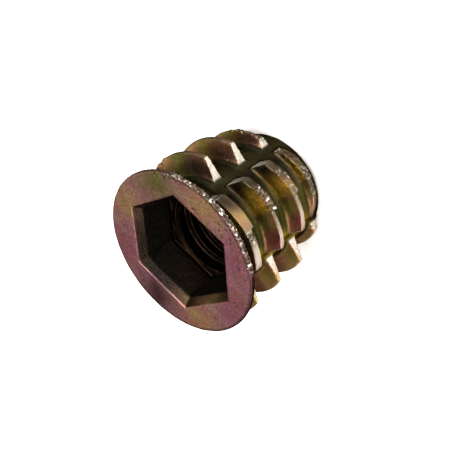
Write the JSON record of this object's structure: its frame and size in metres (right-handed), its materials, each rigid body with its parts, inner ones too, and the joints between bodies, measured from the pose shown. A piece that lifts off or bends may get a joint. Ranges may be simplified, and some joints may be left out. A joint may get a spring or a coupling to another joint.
{
  "type": "threaded insert",
  "caption": "Flanged screw-in insert for wood with a hexagonal key socket, interrupted coarse outer ridges and a threaded through bore.",
  "frame": {"origin": "centre of the entry end's face, at the bottom of the part as it stands", "axes": "+Z along the insert's axis, from the entry end up to the flange; +X through a corner of the hexagonal socket"},
  "size_m": [0.015, 0.015, 0.013],
  "materials": {
    "passivated_zinc": "zinc die casting, zinc plated with an iridescent yellow passivation, trimmed bare in places"
  },
  "bodies": {
    "root": {"insert": "passivated_zinc"}
  },
  "joints": []
}
